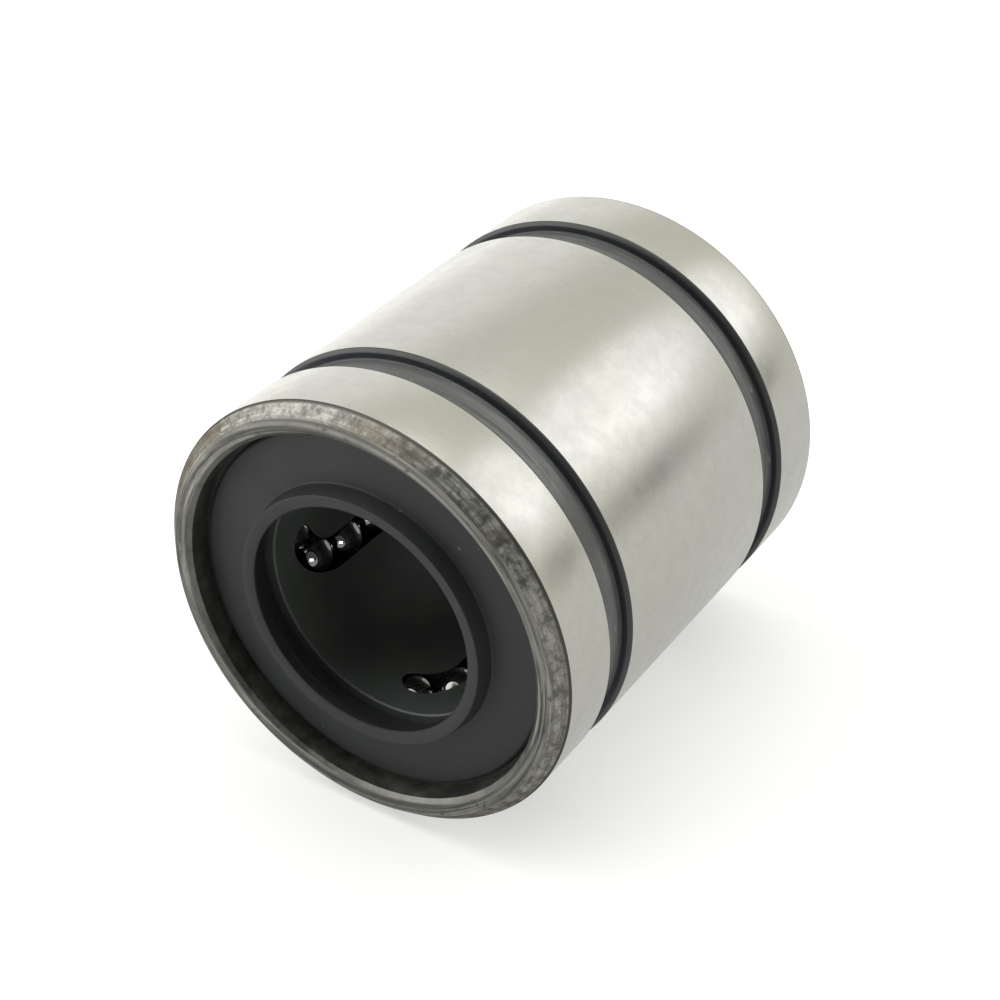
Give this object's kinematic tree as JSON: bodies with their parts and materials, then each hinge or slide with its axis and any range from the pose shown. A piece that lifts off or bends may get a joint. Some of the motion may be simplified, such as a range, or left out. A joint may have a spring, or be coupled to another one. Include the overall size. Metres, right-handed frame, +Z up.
{
  "type": "linear ball bushing",
  "caption": "Cylindrical linear bearing: grooved steel sleeve with black lip seals and circuits of balls that let it run along a round shaft.",
  "frame": {"origin": "middle of the bore, on its axis, halfway along the sleeve", "axes": "+Y along the bore with the front end at -Y; the bushing is the same length each way; +Z up as it lies on its side"},
  "size_m": [0.015, 0.017, 0.015],
  "materials": {
    "ground_steel": "ground bearing steel, satin, with dark turned grooves and chamfers",
    "spring_steel": "hardened spring steel, dull",
    "ball_steel": "polished bearing balls",
    "cage_resin": "moulded black resin, lightly oiled",
    "seal_rubber": "moulded charcoal rubber, matte"
  },
  "bodies": {
    "housing": {"outer_sleeve": "ground_steel", "ball_cage": "cage_resin", "front_stop_ring": "spring_steel", "rear_stop_ring": "spring_steel", "front_seal": "seal_rubber", "rear_seal": "seal_rubber"},
    "loaded_row_1": {"loaded_balls_1": "ball_steel"},
    "return_row_1": {"return_balls_1": "ball_steel"},
    "front_turn_1": {"front_turn_balls_1": "ball_steel"},
    "rear_turn_1": {"rear_turn_balls_1": "ball_steel"},
    "loaded_row_2": {"loaded_balls_2": "ball_steel"},
    "return_row_2": {"return_balls_2": "ball_steel"},
    "front_turn_2": {"front_turn_balls_2": "ball_steel"},
    "rear_turn_2": {"rear_turn_balls_2": "ball_steel"},
    "loaded_row_3": {"loaded_balls_3": "ball_steel"},
    "return_row_3": {"return_balls_3": "ball_steel"},
    "front_turn_3": {"front_turn_balls_3": "ball_steel"},
    "rear_turn_3": {"rear_turn_balls_3": "ball_steel"},
    "loaded_row_4": {"loaded_balls_4": "ball_steel"},
    "return_row_4": {"return_balls_4": "ball_steel"},
    "front_turn_4": {"front_turn_balls_4": "ball_steel"},
    "rear_turn_4": {"rear_turn_balls_4": "ball_steel"}
  },
  "joints": [
    {"name": "loaded_row_1_travel", "type": "slide", "parent": "housing", "child": "loaded_row_1", "axis": [0, 1, 0], "range_m": [-0.0008, 0.0008]},
    {"name": "return_row_1_travel", "type": "slide", "parent": "housing", "child": "return_row_1", "axis": [0, 1, 0], "range_m": [-0.0008, 0.0008]},
    {"name": "front_turn_1_roll", "type": "hinge", "parent": "housing", "child": "front_turn_1", "pos_m": [0.00491, -0.00398, 0.00009], "axis": [-0.9616, 0, -0.2745], "range_deg": [-30, 30]},
    {"name": "rear_turn_1_roll", "type": "hinge", "parent": "housing", "child": "rear_turn_1", "pos_m": [0.00491, 0.00398, 0.00009], "axis": [-0.9616, 0, -0.2745], "range_deg": [-30, 30]},
    {"name": "loaded_row_2_travel", "type": "slide", "parent": "housing", "child": "loaded_row_2", "axis": [0, 1, 0], "range_m": [-0.0008, 0.0008]},
    {"name": "return_row_2_travel", "type": "slide", "parent": "housing", "child": "return_row_2", "axis": [0, 1, 0], "range_m": [-0.0008, 0.0008]},
    {"name": "front_turn_2_roll", "type": "hinge", "parent": "housing", "child": "front_turn_2", "pos_m": [0.00009, -0.00398, -0.00491], "axis": [-0.2745, 0, 0.9616], "range_deg": [-30, 30]},
    {"name": "rear_turn_2_roll", "type": "hinge", "parent": "housing", "child": "rear_turn_2", "pos_m": [0.00009, 0.00398, -0.00491], "axis": [-0.2745, 0, 0.9616], "range_deg": [-30, 30]},
    {"name": "loaded_row_3_travel", "type": "slide", "parent": "housing", "child": "loaded_row_3", "axis": [0, 1, 0], "range_m": [-0.0008, 0.0008]},
    {"name": "return_row_3_travel", "type": "slide", "parent": "housing", "child": "return_row_3", "axis": [0, 1, 0], "range_m": [-0.0008, 0.0008]},
    {"name": "front_turn_3_roll", "type": "hinge", "parent": "housing", "child": "front_turn_3", "pos_m": [-0.00491, -0.00398, -0.00009], "axis": [0.9616, 0, 0.2745], "range_deg": [-30, 30]},
    {"name": "rear_turn_3_roll", "type": "hinge", "parent": "housing", "child": "rear_turn_3", "pos_m": [-0.00491, 0.00398, -0.00009], "axis": [0.9616, 0, 0.2745], "range_deg": [-30, 30]},
    {"name": "loaded_row_4_travel", "type": "slide", "parent": "housing", "child": "loaded_row_4", "axis": [0, 1, 0], "range_m": [-0.0008, 0.0008]},
    {"name": "return_row_4_travel", "type": "slide", "parent": "housing", "child": "return_row_4", "axis": [0, 1, 0], "range_m": [-0.0008, 0.0008]},
    {"name": "front_turn_4_roll", "type": "hinge", "parent": "housing", "child": "front_turn_4", "pos_m": [-0.00009, -0.00398, 0.00491], "axis": [0.2745, 0, -0.9616], "range_deg": [-30, 30]},
    {"name": "rear_turn_4_roll", "type": "hinge", "parent": "housing", "child": "rear_turn_4", "pos_m": [-0.00009, 0.00398, 0.00491], "axis": [0.2745, 0, -0.9616], "range_deg": [-30, 30]}
  ],
  "couplings": [
    {"joint": "return_row_1_travel", "follows": "loaded_row_1_travel", "ratio": -1},
    {"joint": "front_turn_1_roll", "follows": "loaded_row_1_travel", "rad_per_m": 657.89},
    {"joint": "rear_turn_1_roll", "follows": "loaded_row_1_travel", "rad_per_m": 657.89},
    {"joint": "return_row_2_travel", "follows": "loaded_row_2_travel", "ratio": -1},
    {"joint": "front_turn_2_roll", "follows": "loaded_row_2_travel", "rad_per_m": 657.89},
    {"joint": "rear_turn_2_roll", "follows": "loaded_row_2_travel", "rad_per_m": 657.89},
    {"joint": "return_row_3_travel", "follows": "loaded_row_3_travel", "ratio": -1},
    {"joint": "front_turn_3_roll", "follows": "loaded_row_3_travel", "rad_per_m": 657.89},
    {"joint": "rear_turn_3_roll", "follows": "loaded_row_3_travel", "rad_per_m": 657.89},
    {"joint": "return_row_4_travel", "follows": "loaded_row_4_travel", "ratio": -1},
    {"joint": "front_turn_4_roll", "follows": "loaded_row_4_travel", "rad_per_m": 657.89},
    {"joint": "rear_turn_4_roll", "follows": "loaded_row_4_travel", "rad_per_m": 657.89}
  ]
}
